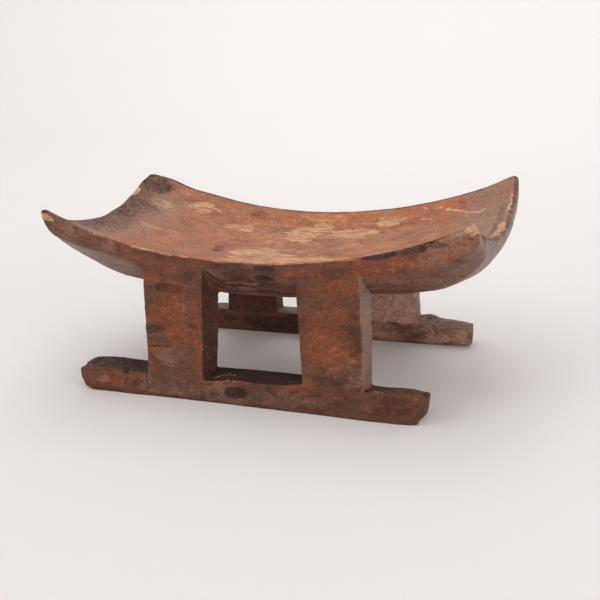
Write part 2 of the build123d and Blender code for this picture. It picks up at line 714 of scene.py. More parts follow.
@dataclass
class Seat(Piece):
    """The boat-shaped seat.

    Its long rims are lifted, and a bevel is knocked off the front one. The
    upper edge of the bevel lies some way back and up from the corner of the
    rim, and its lower edge some way down.

    Attributes:
        lifts: Place along X, lift of the front rim and of the rear rim, in millimetres.
        bevel: Place along X, way back, way up and way down, in millimetres.
        burning: Place along X, in millimetres, and how far the bevel is burnt there.
        land_edge: Place along Y, and place along X of the inner edge of the bare land.
    """

    lifts: tuple[Triple, ...] = (
        (-181, 0, 0),
        (-152, 0.8, 0.2),
        (-135, 1.2, 1.5),
        (-110, 1.3, 2.5),
        (-75, 0.9, 2),
        (-50, 2.4, 1.9),
        (-20, 2.6, 1.9),
        (50, 2.8, 2.1),
        (70, 2.4, 1.9),
        (95, 1.8, 1.8),
        (174, 1.6, 1.5),
        (181, 0.4, 0.4),
    )
    bevel: tuple[tuple[float, float, float, float], ...] = (
        (20, 0, 0, 0),
        (60, 1.2, 0, 1.2),
        (90, 2.6, 0, 2.6),
        (120, 4, 0.2, 4.2),
        (145, 6, 1.2, 5.4),
        (165, 7.5, 2.9, 6.2),
        (174, 7.5, 2.6, 6.2),
        (182, 6, 1.2, 5),
    )
    burning: tuple[tuple[float, float], ...] = (
        (20, 0.1),
        (62, 0.25),
        (90, 0.85),
        (106, 1.2),
        (138, 1.2),
        (156, 0.6),
        (168, -0.4),
    )
    land_edge: tuple[tuple[float, float], ...] = (
        (-90, 176),
        (-40, 171.8),
        (20, 173.4),
        (60, 176),
        (90, 176.4),
    )

    def rim_height(self, skin: Skin) -> np.ndarray:
        """Work out how high the long rims are over each vertex.

        Args:
            skin: The skin.

        Returns:
            The height of the rim at the X of each vertex, in millimetres.
        """
        low, high = (np.array(corner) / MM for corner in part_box(self.node))
        x, y, z = (skin.rest / MM).T
        near = 3
        middle = z[(np.abs(x) < near) & (y < low[1] + near)].max()
        rise = high[2] - middle
        radius = (high[0] ** 2 + rise**2) / (2 * rise)
        return middle + radius - np.sqrt(radius**2 - np.clip(x, low[0], high[0]) ** 2)

    def carve(self, skin: Skin) -> None:
        """Pull the worn tips, lift the long rims and knock the bevel off the front one.

        Args:
            skin: The skin to carve.
        """
        super().carve(skin)
        low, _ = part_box(self.node)
        x, y, z = (skin.rest / MM).T
        behind = (skin.rest[:, 1] - low[1]) / MM
        above = z - self.rim_height(skin)
        front, rear = read_along(x, self.lifts)
        fuller = np.where(y < 0, front, rear) * ramp(np.abs(y), 58, 84) * ramp(above, -14, -5)
        skin.points[:, 2] += fuller * (skin.rest[:, 2] > SEAT_BOTTOM * MM) * MM
        back, rise, drop = read_along(x, self.bevel)
        lift = rise * ramp(np.abs(behind - 6), 11, 0) * ramp(above, -9, -3)
        skin.points[:, 2] += lift * MM
        ragged = layered_noise(skin.rest, (14, 7, 7), seed=71)
        length = np.hypot(back, rise + drop) + 1e-6
        across = (back * (above + lift + drop) - (rise + drop) * behind) / length
        reached = (above > -16) * (back > 0.1)
        cut = np.maximum(across + 1.1 * ragged - 0.1, 0.0) * (behind < 16) * reached
        skin.points[:, 1] += cut * (rise + drop) / length * MM
        skin.points[:, 2] -= cut * back / length * MM
        skin.paint(CUT, ramp(cut, 0.1, 0.3))
        foot = ramp(np.abs(across + 1.3 + 0.5 * ragged), 2, 0.5) * (behind < 4) * (above > -16)
        skin.paint(RUST, foot * ramp(back, 1, 2.5))

    def stain(self, skin: Skin) -> None:
        """Stain the dish, the rims, the tips and the hull, with a painted reflection on the hull and bows
        and a painted highlight along the front rim, then lay the piece's own stains.

        Args:
            skin: The skin to stain.
        """
        x, y, z = (skin.rest / MM).T
        up, sideways = skin.normals[:, 2], np.abs(skin.normals[:, 1])
        below = self.rim_height(skin) - z
        own = z > SEAT_BOTTOM
        wide = layered_noise(skin.rest, (60, 22, 60), seed=81)
        fine = layered_noise(skin.rest, (9, 5, 5), seed=83)
        # Dish, darker and greyer towards the ends
        inner = (np.abs(x) < 177.5) * own
        skin.paint(DISH, ramp(up, 0.45, 0.7) * inner)
        dish = ramp(up, 0.6, 0.8) * inner
        drifting = x + 14 * wide
        skin.paint(WORN, dish * 0.16 * ramp(np.abs(x - 20) + 30 * wide, 135, 20))
        skin.paint(SOOT, dish * 0.66 * ramp(drifting, -134, -176))
        skin.paint(ASH, dish * 0.8 * ramp(drifting, -112, -160))
        skin.paint(ASH, dish * 0.72 * ramp(drifting, 120, 164))
        # Hull, side bands and ends. The grey laid on the hull and the ends is partly weathering and partly
        # a painted reflection of the pale floor
        band_bottom, ends_bottom = 100, 105
        hull = ramp(up, -0.02, -0.3) * own
        skin.paint(POLISH, ramp(up, 0.3, 0) * own * ramp(np.abs(x), 70, 130))
        skin.paint(ASH, hull * (0.22 + 0.42 * ramp(-x, 70, 130) + 0.18 * ramp(x, 110, 165)))
        side = ramp(sideways, 0.7, 0.9) * own * (z > band_bottom)
        skin.paint(ASH, side * (0.5 * ramp(x, 100, 160) + 0.38 * ramp(-x, 96, 120)))
        ends = ramp(np.abs(skin.normals[:, 0]), 0.45, 0.8) * (z > ends_bottom)
        skin.paint(ASH, ends * 0.5)
        # Rims
        lands = ramp(np.abs(x), 176.6, 178.4) * ramp(up, 0.2, 0.5)
        skin.paint(ASH, lands)
        skin.paint(SOOT, lands * ramp(fine, -0.6, 0.3) * 0.48)
        rear_edge = ramp(below, 2.6, 1.4) * ramp(y, 85.4, 86.8)
        skin.paint(SOOT, rear_edge * (0.35 + 0.45 * ramp(fine + 0.5 * wide, -0.4, 0.5)))
        # Pale line along the front rim's edge: partly rubbed wood, partly a painted highlight
        front_edge_wear_and_highlight = ramp(np.abs(below - 0.4), 1.3, 0.2) * ramp(y, -87, -88.5)
        rubbed = 0.5 * front_edge_wear_and_highlight * ramp(fine, -0.4, 0.3)
        skin.paint(WORN, rubbed * ramp(x, 70, 30) * ramp(x, -160, -130))
        band_foot = ramp(np.abs(below - 10.5 - 1.2 * fine), 2, 0.2)
        skin.paint(SOOT, band_foot * ramp(y, -85, -88) * ramp(x, -84, -96) * 0.35)
        # Crust and red wood in the bevel of the front rim
        cut = skin.layers[CUT]
        burnt = layered_noise(skin.rest, (13, 7, 5), seed=85)
        (burning,) = read_along(x, self.burning)
        crust = ramp(1.5 * burnt + burning, 0.22, 0.72)
        skin.paint(SOOT, cut * crust * ramp(x, 22, 44) * (0.5 + 0.5 * ramp(fine, -0.5, 0.2)))
        skin.paint(RUST, cut * (1 - crust))
        # Bare land along the right end
        inner_edge = np.interp(y, *np.array(self.land_edge).T)
        edge = x + 1.2 * fine
        land = ramp(edge - inner_edge, -0.4, 0.6) * ramp(edge, 179, 178) * ramp(up, 0.2, 0.5)
        broken = ramp(layered_noise(skin.rest, (40, 13, 40), seed=87), -0.15, 0.1)
        bare = land * broken * ramp(np.abs(y), 84, 74)
        skin.paint(BARE, bare * (0.95 - 0.3 * ramp(y, 20, 60)))
        super().stain(skin)


SEAT_NUDGES = Nudge.table(
    (-181, -90, 154.6, 36, 34, 34, -3.5, 0, 3.4),
    (-154, 88, 146, 26, 24, 26, 0, 0, 3),
    (181, 90, 154.6, 30, 30, 30, 0.8, 0, 1.9),
    (-41, -88, 108, 28, 16, 12, 0, 0, 0.8),
    (180, -86, 154, 22, 18, 24, -1.8, 0, 1),
    (183, -80, 149, 8, 18, 18, -0.8, 0, -4.5),
    # The left end rim stands fuller, the bows are cut in below and full to the right
    (-181, 46, 139, 34, 50, 26, -1.4, 0, 2.8),
    (-181, -24, 134, 34, 66, 22, 0, 0, 2.4),
    (-181, 12, 132, 30, 24, 22, 0, 0, 1.8),
    (-181, 74, 146, 22, 18, 22, -0.6, 0, 1.5),
    (-166, -86, 130, 15, 22, 13, 0.8, 0, 1.2),
    (-156, -74, 112, 42, 34, 28, 0, 0, 2.8),
    (178, 34, 126, 28, 90, 38, 3.2, 0, 0),
    (181, 74, 142, 20, 30, 22, 1.4, 0, 0),
    (163, -36, 106, 30, 60, 28, 0.4, 0, -1.3),
    (181, -20, 132, 14, 60, 20, 1.6, 0, 0),
    (118, -46, 91, 26, 50, 20, 0, 0, -2.8),
    (148, -72, 103, 32, 26, 20, 0, 0, -2.6),
)

SEAT_STAINS = Stain.table(
    # Golden wood where sitters have rubbed the dish bare
    (WORN, -28, 6, 98, 38, 24, 30, 1, 0.35),
    (WORN, -40, -14, 98, 30, 12, 30, 0.85, 0.5),
    (WORN, 20, 4, 98, 44, 12, 30, 0.6, 0.7),
    (WORN, -9, 60, 106, 20, 8, 30, 0.95, 0.6),
    (WORN, -12, 48, 103, 14, 6, 30, 0.8, 0.6),
    (WORN, 8, 70, 110, 12, 6, 30, 0.8, 0.6),
    (WORN, 42, 58, 107, 26, 9, 30, 0.85, 0.6),
    (WORN, 70, 70, 115, 16, 8, 30, 0.75, 0.6),
    (WORN, 34, 77, 114, 14, 4, 30, 0.5, 0.6),
    (WORN, -70, 56, 110, 16, 7, 30, 0.8, 0.6),
    (WORN, -115, 70, 125, 15, 7, 30, 0.7, 0.7),
    (WORN, -151, 56, 130, 12, 9, 30, 0.9, 0.5),
    (WORN, -143, 14, 120, 16, 5, 30, 0.6, 0.6),
    (WORN, -112, 74, 130, 12, 6, 30, 0.5, 0.6),
    # Darker spots in the dish
    (SOOT, -72, 10, 103, 6, 10, 20, 0.62, 0.3),
    (SOOT, -59, 76, 116, 9, 6, 20, 0.4, 0.4),
    (SOOT, -163, -6, 126, 10, 24, 30, 0.5, 0.5),
    (SOOT, -164, 76, 145, 20, 16, 20, 0.72, 0.3),
    (SOOT, -50, -30, 100, 12, 8, 20, 0.35, 0.6),
    (RUST, 110, 76, 128, 70, 14, 20, 0.75, 0.5),
    (RUST, 10, 80, 114, 90, 8, 20, 0.7, 0.5),
    (RUST, -100, -50, 112, 40, 22, 20, 0.45, 0.6),
    # Chips at the tips and along the end rims
    (BARE, -178, -90, 148.4, 9, 7, 3, 1, 0.45, -0.3),
    (BARE, 173, -85, 152.5, 12, 9, 5, 1, 0.35),
    (WORN, 168, -86, 150, 16, 7, 6, 0.6, 0.8),
    (BARE, -179, 56, 139, 5, 13, 8, 1, 0.35),
    (SOOT, -176, -86, 154.6, 16, 9, 4.8, 0.95, 0.3),
    (SOOT, 172, 20, 134, 4, 60, 20, 0.4, 0.5),
    # Red wood laid open under the bevel of the front rim
    (RUST, 104, -90, 119, 34, 6, 6, 0.9, 0.4, 0.2),
    (RUST, 142, -90, 128, 28, 6, 6, 1, 0.4, 0.3),
    (RUST, 165, -90, 140, 18, 6, 6, 0.9, 0.4, 0.4),
    (RUST, 50, -90, 112, 24, 6, 5, 0.6, 0.5),
    # Side over the window and to the left
    (SOOT, 12, -89, 107, 10.5, 8, 3.2, 1, 0.3),
    (SOOT, 13, -90, 114, 10, 6, 2.6, 0.85, 0.4),
    (SOOT, -6, -88, 112, 34, 8, 6, 0.5, 0.6),
    (SOOT, 0, -80, 98, 60, 14, 10, 0.5, 0.6),
    (RUST, -124, -90, 127, 56, 6, 7, 0.5, 0.7, -0.32),
    (SOOT, -120, -90, 121, 50, 6, 3, 0.3, 0.9, -0.32),
    (WORN, -116, -88, 113, 24, 8, 6, 0.36, 1, -0.2),
    (PITS, -118, -88, 117, 38, 8, 12, 0.9, 0.5),
)

SEAT_STROKES = Stroke.table(
    (BARE, 123, 74, 128.2, 153, 58, 131.4, 2.2, 0.2, 0.9),
    (BARE, 153, 58, 131.4, 158, 60, 133.8, 2.2, 0.2, 0.9),
    (BARE, 102, 69, 120.7, 112, 65, 121.4, 1.8, 0.2, 0.75),
    (BARE, 99, 82, 126, 104, 80, 126.1, 1.8, 0.2, 0.75),
    (BARE, 113, 78, 127.3, 118, 77, 128, 1.8, 0.2, 0.75),
    (SOOT, 177, -71, 141, 177.5, -69.5, 141, 1.8, 1.2, 1),
    # Open grain in the bare middle of the dish
    (SOOT, -58, -9, 99.7, -30, -8, 97.1, 1.4, 0.15, 0.75),
    (SOOT, -49, -3, 98.5, -10, -2, 96.1, 1.4, 0.15, 0.75),
    (SOOT, -44, 4, 98.1, -18, 5, 96.4, 1.4, 0.15, 0.7),
    (SOOT, -40, 10, 98, 0, 11, 96.3, 1.4, 0.15, 0.75),
    (SOOT, -32, 17, 97.9, -6, 18, 96.9, 1.3, 0.15, 0.65),
    (SOOT, -4, 2, 96, 22, 1, 96.5, 1.3, 0.15, 0.6),
    # Under the rim, over the window
    (WORN, -22, -81.5, 100, 5, -82.5, 101.2, 2.2, 0, 0.6),
    (ASH, -15, -77.8, 95.6, 22, -77.8, 95.7, 2.6, 0, 0.9),
    (RUST, -10, -79.6, 97.6, 30, -79.8, 98, 2.4, 0, 0.9),
    (SOOT, -24, -79.8, 98, 0, -79.2, 97.2, 1.8, 0.5, 1),
    (SOOT, -36.5, -88, 107.8, -22.5, -77.2, 94.9, 2, 0.7, 1),
    (SOOT, -26, -74, 91, 33, -74.7, 92, 2.2, 0, 0.8),
)


def near_box(skin: Skin, node: str, margin: float = 1.5) -> np.ndarray:
    """Say which vertices lie in the box of a node.

    Args:
        skin: The skin.
        node: The node of the frame.
        margin: How far past the box still counts, in millimetres.

    Returns:
        True or false for each vertex.
    """
    low, high = (np.array(corner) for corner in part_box(node))
    return np.all((skin.rest > low - margin * MM) & (skin.rest < high + margin * MM), axis=1)


def inner_face(skin: Skin, node: str) -> np.ndarray:
    """How squarely each vertex near a node faces the inside of the stool, 0 to 1."""
    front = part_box(node)[0][1] < 0
    return near_box(skin, node) * ramp(skin.normals[:, 1] * (1 if front else -1), 0.5, 0.9)


@dataclass
class Post(Piece):
    """A post of one of the frames."""

    def stain(self, skin: Skin) -> None:
        """Stain the faces of the post, darker inside the window with crust and painted shade, paler on the
        outer sides with weathering and painted light, then lay its own stains.

        Args:
            skin: The skin to stain.
        """
        low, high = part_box(self.node)
        here = near_box(skin, self.node) * (skin.rest[:, 2] < high[2])
        x = skin.rest[:, 0] / MM
        inward = np.sign(-(low[0] + high[0])) * skin.normals[:, 0]
        # Faces toward the window: dark crust and painted shade. Outer sides: grey weathering and painted
        # light.
        skin.paint(SOOT, here * ramp(inward, 0.5, 0.9) * 0.6)
        skin.paint(ASH, here * ramp(-inward, 0.5, 0.9))
        inside = inner_face(skin, self.node)
        # Inner faces: pale on the right, partly paler wood and partly painted light from the right lamp;
        # darker on the left, partly painted shade under the seat.
        skin.paint(STONE, inside * ramp(x, -20, 50))
        skin.paint(SOOT, inside * ramp(x, 20, -20) * 0.5)
        skin.paint(PITS, inside * 0.45 + here * np.abs(skin.normals[:, 0]) * 0.3)
        super().stain(skin)


@dataclass
class Runner(Piece):
    """The sledge runner of one of the frames."""

    def stain(self, skin: Skin) -> None:
        """Darken the sill and the foot, pale the right part of the inner face with paler wood and painted
        light, then lay the runner's own stains.

        Args:
            skin: The skin to stain.
        """
        here = near_box(skin, self.node)
        x, _, z = (skin.rest / MM).T
        sill = here * ramp(skin.normals[:, 2], 0.5, 0.9)
        inside = inner_face(skin, self.node)
        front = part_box(self.node)[0][1] < 0
        grime = np.interp(x, (-150, -100, 60, 110), (0.7, 0.9, 1, 0.5)) if front else 0.35
        skin.paint(SOOT, sill * grime)
        skin.paint(ASH, sill * (0.3 if front else 0.9))
        skin.paint(PITS, inside * 0.6)
        # Right part of the inner face: paler wood and painted light from the right lamp
        skin.paint(STONE, inside * 0.47 * ramp(x, 0, 60))
        skin.paint(SOOT, here * ramp(z, 7, 0) * 0.5)
        super().stain(skin)


@dataclass
class Block:
    """The whole block of wood: its pieces and what is carved over all of them.

    Attributes:
        pieces: The named forms.
        waviness: Reach of the slow waves in every face, in millimetres.
        facet_depth: Depth of the adze scoops on the rough faces, in millimetres.
        fine_depth: Depth of the fine unevenness, in millimetres.
        red_top: Height up to which the outer faces may turn red, in millimetres.
    """

    pieces: tuple[Piece, ...]
    waviness: float = 0.4
    facet_depth: float = 0.45
    fine_depth: float = 0.16
    red_top: float = 116

    def carve(self, skin: Skin) -> None:
        """Leave the marks of the adze all over, then each piece's own.

        Args:
            skin: The skin to carve.
        """
        rest, normals = skin.rest, skin.normals
        slow = layered_noise(rest, (70, 50, 50), seed=11, octaves=2) * self.waviness
        scoops = (tool_facets(rest, (22, 12, 12), seed=31) - 0.4) * self.facet_depth
        fine = layered_noise(rest, (12, 4, 4), seed=51, octaves=2) * self.fine_depth
        # Sitters have worn the dish smooth
        in_dish = ramp(normals[:, 2], 0.4, 0.8) * (rest[:, 2] > SEAT_BOTTOM * MM)
        rough, worn = 1 - 0.85 * in_dish, 1 - 0.5 * in_dish
        offset = slow * worn + scoops * rough + fine * worn
        skin.points += normals * offset[:, None] * MM
        for piece in self.pieces:
            piece.carve(skin)
        skin.points[:, 2] = np.maximum(skin.points[:, 2], 0)

    def stain(self, skin: Skin) -> None:
        """Darken inner corners, rub outer edges, then lay each piece's own stains.

        Args:
            skin: The skin to stain.
        """
        bend = skin.bend(2)
        skin.paint(SOOT, ramp(-bend, 0.15, 0.7) * 0.8)
        skin.paint(BARE, ramp(bend, 0.35, 1) * 0.35)
        outer_face = ramp(np.abs(skin.normals[:, 1]), 0.6, 0.9) * (skin.rest[:, 2] < self.red_top * MM)
        patches = layered_noise(skin.rest, (26, 40, 16), seed=61)
        skin.paint(RUST, outer_face * ramp(patches, -0.1, 0.5) * 0.45)
        for piece in self.pieces:
            piece.stain(skin)

    def build(self, material: bpy.types.Material) -> list[bpy.types.Object]:
        """Carve, stain and part the block.

        Args:
            material: The wood.

        Returns:
            One object for each piece.
        """
        skin = SkinMaker().make()
        self.carve(skin)
        self.stain(skin)
        return [piece.build(skin, material) for piece in self.pieces]


STOOL = Block(
    pieces=(
        Seat("seat", SEAT_NUDGES, SEAT_STAINS, SEAT_STROKES),
        Post(
            "front_left_post",
            nudges=Nudge.table(
                (-96, -82, 114, 14, 34, 86, -2.4, 0, 0),
                (-39.6, -70.5, 92, 10, 12, 120, 3.6, 0, 0),
            ),
            stains=Stain.table(
                (RUST, -66, -92, 76, 15, 7, 34, 0.9, 0.5),
                (RUST, -84, -91, 104, 10, 6, 8, 1, 0.5),
                (RUST, -82, -92, 74, 12, 6, 12, 0.8, 0.5),
                (RUST, -48, -92, 60, 5, 6, 36, 0.6, 0.6),
                (SOOT, -72, -91, 96, 16, 6, 4.5, 0.62, 0.6),
                (SOOT, -86, -92, 62, 12, 6, 4, 0.6, 0.6),
                (SOOT, -58, -91, 106, 13, 6, 4, 0.4, 0.7),
                (ASH, -74, -92, 36, 22, 6, 12, 0.26, 1),
            ),
            strokes=Stroke.table(
                (BARE, -40.6, -84, 106, -40.2, -71.5, 92, 2, 0, 0.45),
                (SOOT, -96, -92.6, 45, -74, -92.6, 46.5, 0.9, 0.35),
                (SOOT, -95, -92, 57, -80, -92, 58, 0.9, 0.35),
                (SOOT, -93, -91, 96, -66, -91, 99, 0.9, 0.35),
            ),
        ),
        Post(
            "front_right_post",
            nudges=Nudge.table(
                (96, -70.5, 14, 46, 13, 60, 0, -4.2, 0),
                (94, -70.5, 102, 40, 13, 52, 0, 3.4, 0),
                (93, -82, 70, 14, 34, 90, -0.9, 0, 0),
                (41, -82, 92, 10, 34, 54, -0.9, 0, 0),
            ),
            stains=Stain.table(
                (RUST, 66, -92, 62, 22, 7, 30, 0.85, 0.6),
                (RUST, 54, -92, 54, 13, 6, 18, 0.9, 0.5),
                (RUST, 74, -91, 104, 18, 6, 8, 0.8, 0.5),
                (SOOT, 86, -92, 66, 8, 6, 22, 0.42, 0.7),
                (SOOT, 62, -92, 28, 18, 6, 6, 0.45, 0.7),
                (ASH, 80, -92, 34, 16, 6, 12, 0.45, 0.9),
            ),
            strokes=Stroke.table(
                (SOOT, 44, -91, 96, 62, -91, 97, 0.8, 0.3),
                (SOOT, 72, -92, 40, 92, -92, 41, 0.8, 0.3),
            ),
        ),
        Runner(
            "front_runner",
            nudges=Nudge.table(
                (-120, -90, 20.5, 16, 8, 7, 0, 0, 1.4, 0.5),
                (112, -88, 0, 70, 34, 75, 0, -3.6, 0),
                (50, -93.6, 0, 120, 30, 18, 0, -2.4, 0),
                (106, -93.6, 21, 26, 17, 14, 0, 0, 4.2, 0.15),
                (135, -93.6, 17, 30, 17, 14, 0, 0, 8),
                (136, -72, 2, 18, 18, 16, 2.6, 0, 0),
                (126, -70.5, 18, 32, 15, 12, 0, 0, 1.8),
                (0, -70.5, 21.5, 110, 14, 10, 0, 0, 1.8),
                (-142, -70.5, 20, 58, 16, 12, -0.8, 0, 3.6),
                (-150, -93.6, 18.5, 46, 16, 11, 0, 0, 2.8),
                (-163, -93.6, 1, 15, 24, 12, 3, 0, 1.6),
                (-46, -93.6, 21.5, 30, 16, 12, 0, 0, -2.2),
                (44, -93.6, 21.5, 30, 16, 12, 0, 0, 2.6),
            ),
            stains=Stain.table(
                (SOOT, -17, -93.6, 11, 13.5, 6, 6.6, 1, 0.2),
                (SOOT, -118, -92, 20, 4.5, 4, 4, 1, 0.2),
                (ASH, -40, -93.6, 10, 110, 5, 9, 0.5, 0.6),
                (SOOT, 20, -93.6, 9, 150, 5, 11, 0.4, 0.8),
                (RUST, -120, -93.6, 10, 40, 6, 8, 0.25, 0.8),
                (SOOT, 116, -91, 9, 28, 7, 9, 0.42, 0.7),
                (SOOT, 138, -84, 10, 5, 14, 12, 0.5, 0.5),
            ),
            strokes=Stroke.table(
                (SOOT, -98.5, -93.6, 20, -98, -93.6, 7, 1.1, 0.5),
                (BARE, 100, -92.5, 21, 128, -92.5, 19, 1.3, 0, 0.4),
                (BARE, -24, -93, 21.5, -4, -93, 21.5, 1.3, 0, 0.4),
                (BARE, -38, -88, 21.5, -27, -80, 21.5, 2.4, 0.2, 0.36),
                (BARE, -33, -84, 21.5, -16, -82, 21.5, 2, 0.2, 0.3),
                (ASH, -148, -80, 19, -112, -78, 21, 2.4, 0, 0.6),
                (RUST, 133, -94, 16, 133, -94, 2, 2, 0, 0.5),
            ),
        ),
        Post("rear_left_post"),
        Post("rear_right_post"),
        Runner(
            "rear_runner",
            nudges=Nudge.table(
                (99, 91, 21, 9, 8, 8, 0, 0, 2.6, 0.6),
                (106, 91, 21, 8, 8, 8, 0, 0, 2.4, 0.6),
                (142, 78, 1, 34, 24, 16, 3, 0, -1.5),
                (122, 73, 18, 36, 12, 12, 0, 0, -2.2),
            ),
            stains=Stain.table((SOOT, -40, 73, 10, 80, 8, 12, 0.7, 0.6)),
        ),
    )
)


# ---------------------------------------------------------------------------
# Wood
# ---------------------------------------------------------------------------

WHITE = (1.0, 1.0, 1.0, 1.0)


def paint_chip(red: int, green: int, blue: int) -> Colour:
    """Mix a colour.

    Args:
        red: Its red, 0 to 255 as a screen shows it.
        green: Its green.
        blue: Its blue.

    Returns:
        The same colour in the linear numbers that shaders use.
    """
    linear = []
    for channel in (red, green, blue):
        share = channel / 255
        linear.append(share / 12.92 if share <= 0.04045 else ((share + 0.055) / 1.055) ** 2.4)
    return (*linear, 1.0)


class Sketch:
    """Lays shader nodes in a tree, row by row, and links them.

    Attributes:
        per_row: How many nodes a row holds.
        across: Distance to the next node of a row.
        down: Distance to the next row.
        mix_under: Place of the lower colour among the inputs of a mix node.
        mix_over: Place of the upper colour among them.
        mix_result: Place of the mixed colour among its outputs.
    """

    per_row: ClassVar[int] = 12
    across: ClassVar[int] = 180
    down: ClassVar[int] = -220
    mix_under: ClassVar[int] = 6
    mix_over: ClassVar[int] = 7
    mix_result: ClassVar[int] = 2

    def __init__(self, tree: bpy.types.NodeTree) -> None:
        """Start with the tree to fill."""
        self.tree = tree
        self.count = 0

    def node(self, kind: str, **settings: object) -> bpy.types.Node:
        """Add a node.

        Args:
            kind: Its Blender type.
            **settings: Properties to set on it.

        Returns:
            The node.
        """
        node = self.tree.nodes.new(kind)
        row, column = divmod(self.count, self.per_row)
        node.location = (self.across * column, self.down * row)
        self.count += 1
        for name, value in settings.items():
            setattr(node, name, value)
        return node

    def feed(self, socket: Socket, value: object) -> None:
        """Link a socket to another one, or set its number or colour.

        Args:
            socket: The socket to feed.
            value: Another socket, a number or a colour.
        """
        if isinstance(value, Socket):
            self.tree.links.new(value, socket)
        else:
            socket.default_value = value

    def math(self, operation: str, first: object, second: object = 0.0, clamp: bool = False) -> Socket:
        """Work out one number from two.

        Args:
            operation: What Blender calls the sum.
            first: A socket or a number.
            second: A socket or a number.
            clamp: Whether the result is kept between 0 and 1.

        Returns:
            The result.
        """
        node = self.node("ShaderNodeMath", operation=operation, use_clamp=clamp)
        self.feed(node.inputs[0], first)
        self.feed(node.inputs[1], second)
        return node.outputs[0]

    def times(self, first: object, second: object) -> Socket:
        """Multiply two numbers."""
        return self.math("MULTIPLY", first, second)

    def plus(self, first: object, second: object, clamp: bool = False) -> Socket:
        """Add two numbers."""
        return self.math("ADD", first, second, clamp)

    def blend(self, amount: object, under: object, over: object, kind: str = "MIX") -> Socket:
        """Lay one colour over another.

        Args:
            amount: How much of it, 0 to 1.
            under: The colour below.
            over: The colour on top.
            kind: How the two are mixed.

        Returns:
            The mixed colour.
        """
        node = self.node("ShaderNodeMix", data_type="RGBA", blend_type=kind)
        self.feed(node.inputs[0], amount)
        self.feed(node.inputs[self.mix_under], under)
        self.feed(node.inputs[self.mix_over], over)
        return node.outputs[self.mix_result]

    def noise(self, size: Triple, detail: float, roughness: float = 0.5, warp: float = 0.0) -> Socket:
        """Draw noise with spots of the given size.

        Args:
            size: Length of a spot along X, Y and Z, in millimetres.
            detail: How many finer layers there are.
            roughness: How strong they are.
            warp: How much the noise is twisted.

        Returns:
            One number, mostly between 0.25 and 0.75.
        """
        scaled = self.node("ShaderNodeVectorMath", operation="MULTIPLY")
        self.feed(scaled.inputs[0], self.node("ShaderNodeTexCoord").outputs["Object"])
        scaled.inputs[1].default_value = tuple(1 / (length * MM) for length in size)
        node = self.node("ShaderNodeTexNoise")
        self.feed(node.inputs["Vector"], scaled.outputs[0])
        settings = {"Scale": 1.0, "Detail": detail, "Roughness": roughness, "Distortion": warp}
        for name, value in settings.items():
            node.inputs[name].default_value = value
        return node.outputs["Fac"]

    def spread_out(self, value: object, low: float, high: float) -> Socket:
        """Stretch a number over the whole way from 0 to 1, with soft ends.

        Args:
            value: The number.
            low: Where the result is 0.
            high: Where it is 1.

        Returns:
            The result, 0 to 1.
        """
        node = self.node("ShaderNodeMapRange", interpolation_type="SMOOTHSTEP")
        self.feed(node.inputs["Value"], value)
        node.inputs["From Min"].default_value = low
        node.inputs["From Max"].default_value = high
        return node.outputs["Result"]


class EffectGroup:
    """A node group that a finish uses."""

    def __init__(self, name: str, inputs: dict[str, float], outputs: tuple[str, ...]) -> None:
        """Make an empty group with its sockets.

        Args:
            name: What the group is called.
            inputs: Name and first value of each number that it takes.
            outputs: Name of each number that it gives.
        """
        self.tree = bpy.data.node_groups.new(name, "ShaderNodeTree")
        for socket, value in inputs.items():
            made = self.tree.interface.new_socket(socket, in_out="INPUT", socket_type="NodeSocketFloat")
            made.default_value = value
        for socket in outputs:
            self.tree.interface.new_socket(socket, in_out="OUTPUT", socket_type="NodeSocketFloat")
        self.sketch = Sketch(self.tree)
        self.entry = self.sketch.node("NodeGroupInput")
        self.exit = self.sketch.node("NodeGroupOutput")

    def give(self, name: str, value: Socket) -> None:
        """Feed one of the numbers that the group gives."""
        self.sketch.feed(self.exit.inputs[name], value)

    def give_patterns(self, *rows: tuple) -> None:
        """Give patterns that go from 0 to 1.

        Args:
            *rows: For each pattern its name, the size, detail, roughness and warp of its
                noise, and the noise at which it is 0 and at which it is 1.
        """
        for name, size, detail, roughness, warp, low, high in rows:
            noise = self.sketch.noise(size, detail, roughness, warp)
            self.give(name, self.sketch.spread_out(noise, low, high))


def grain_group() -> bpy.types.NodeTree:
    """Draw wood grain along X: fine fibres, broad streaks and hairline cracks, each 0 to 1.

    Returns:
        The group.
    """
    group = EffectGroup("wood_grain", {}, ("Fibre", "Streak", "Crack"))
    group.give_patterns(
        ("Fibre", (16, 1.3, 1.3), 4, 0.6, 0, 0.28, 0.72),
        ("Streak", (44, 4, 4), 4, 0.6, 0.8, 0.28, 0.72),
    )
    sketch = group.sketch
    split = sketch.noise((38, 7, 7), 3, 0.6, 0.5)
    away = sketch.math("ABSOLUTE", sketch.math("SUBTRACT", split, 0.5))
    line = sketch.spread_out(away, 0.011, 0.003)
    place = sketch.spread_out(sketch.noise((33, 21, 21), 1), 0.5, 0.62)
    group.give("Crack", sketch.times(line, place))
    return group.tree


def mottle_group() -> bpy.types.NodeTree:
    """Draw old patina: slow changes of hue, patches, clouds, flecks and specks, each 0 to 1.

    Returns:
        The group.
    """
    group = EffectGroup("mottle", {}, ("Hue", "Moss", "Patch", "Cloud", "Fleck", "Speck"))
    group.give_patterns(
        ("Hue", (31, 17, 17), 4, 0.6, 0.6, 0.3, 0.7),
        ("Moss", (23, 29, 14), 4, 0.6, 0.4, 0.42, 0.72),
        ("Patch", (19, 11, 11), 5, 0.65, 0.8, 0.28, 0.72),
        ("Cloud", (21, 7, 7), 5, 0.62, 1.1, 0.34, 0.66),
        ("Fleck", (5.6, 3.6, 3.6), 4, 0.6, 0.4, 0.28, 0.74),
        ("Speck", (2.3, 1.5, 1.5), 2, 0.55, 0, 0.28, 0.72),
    )
    return group.tree


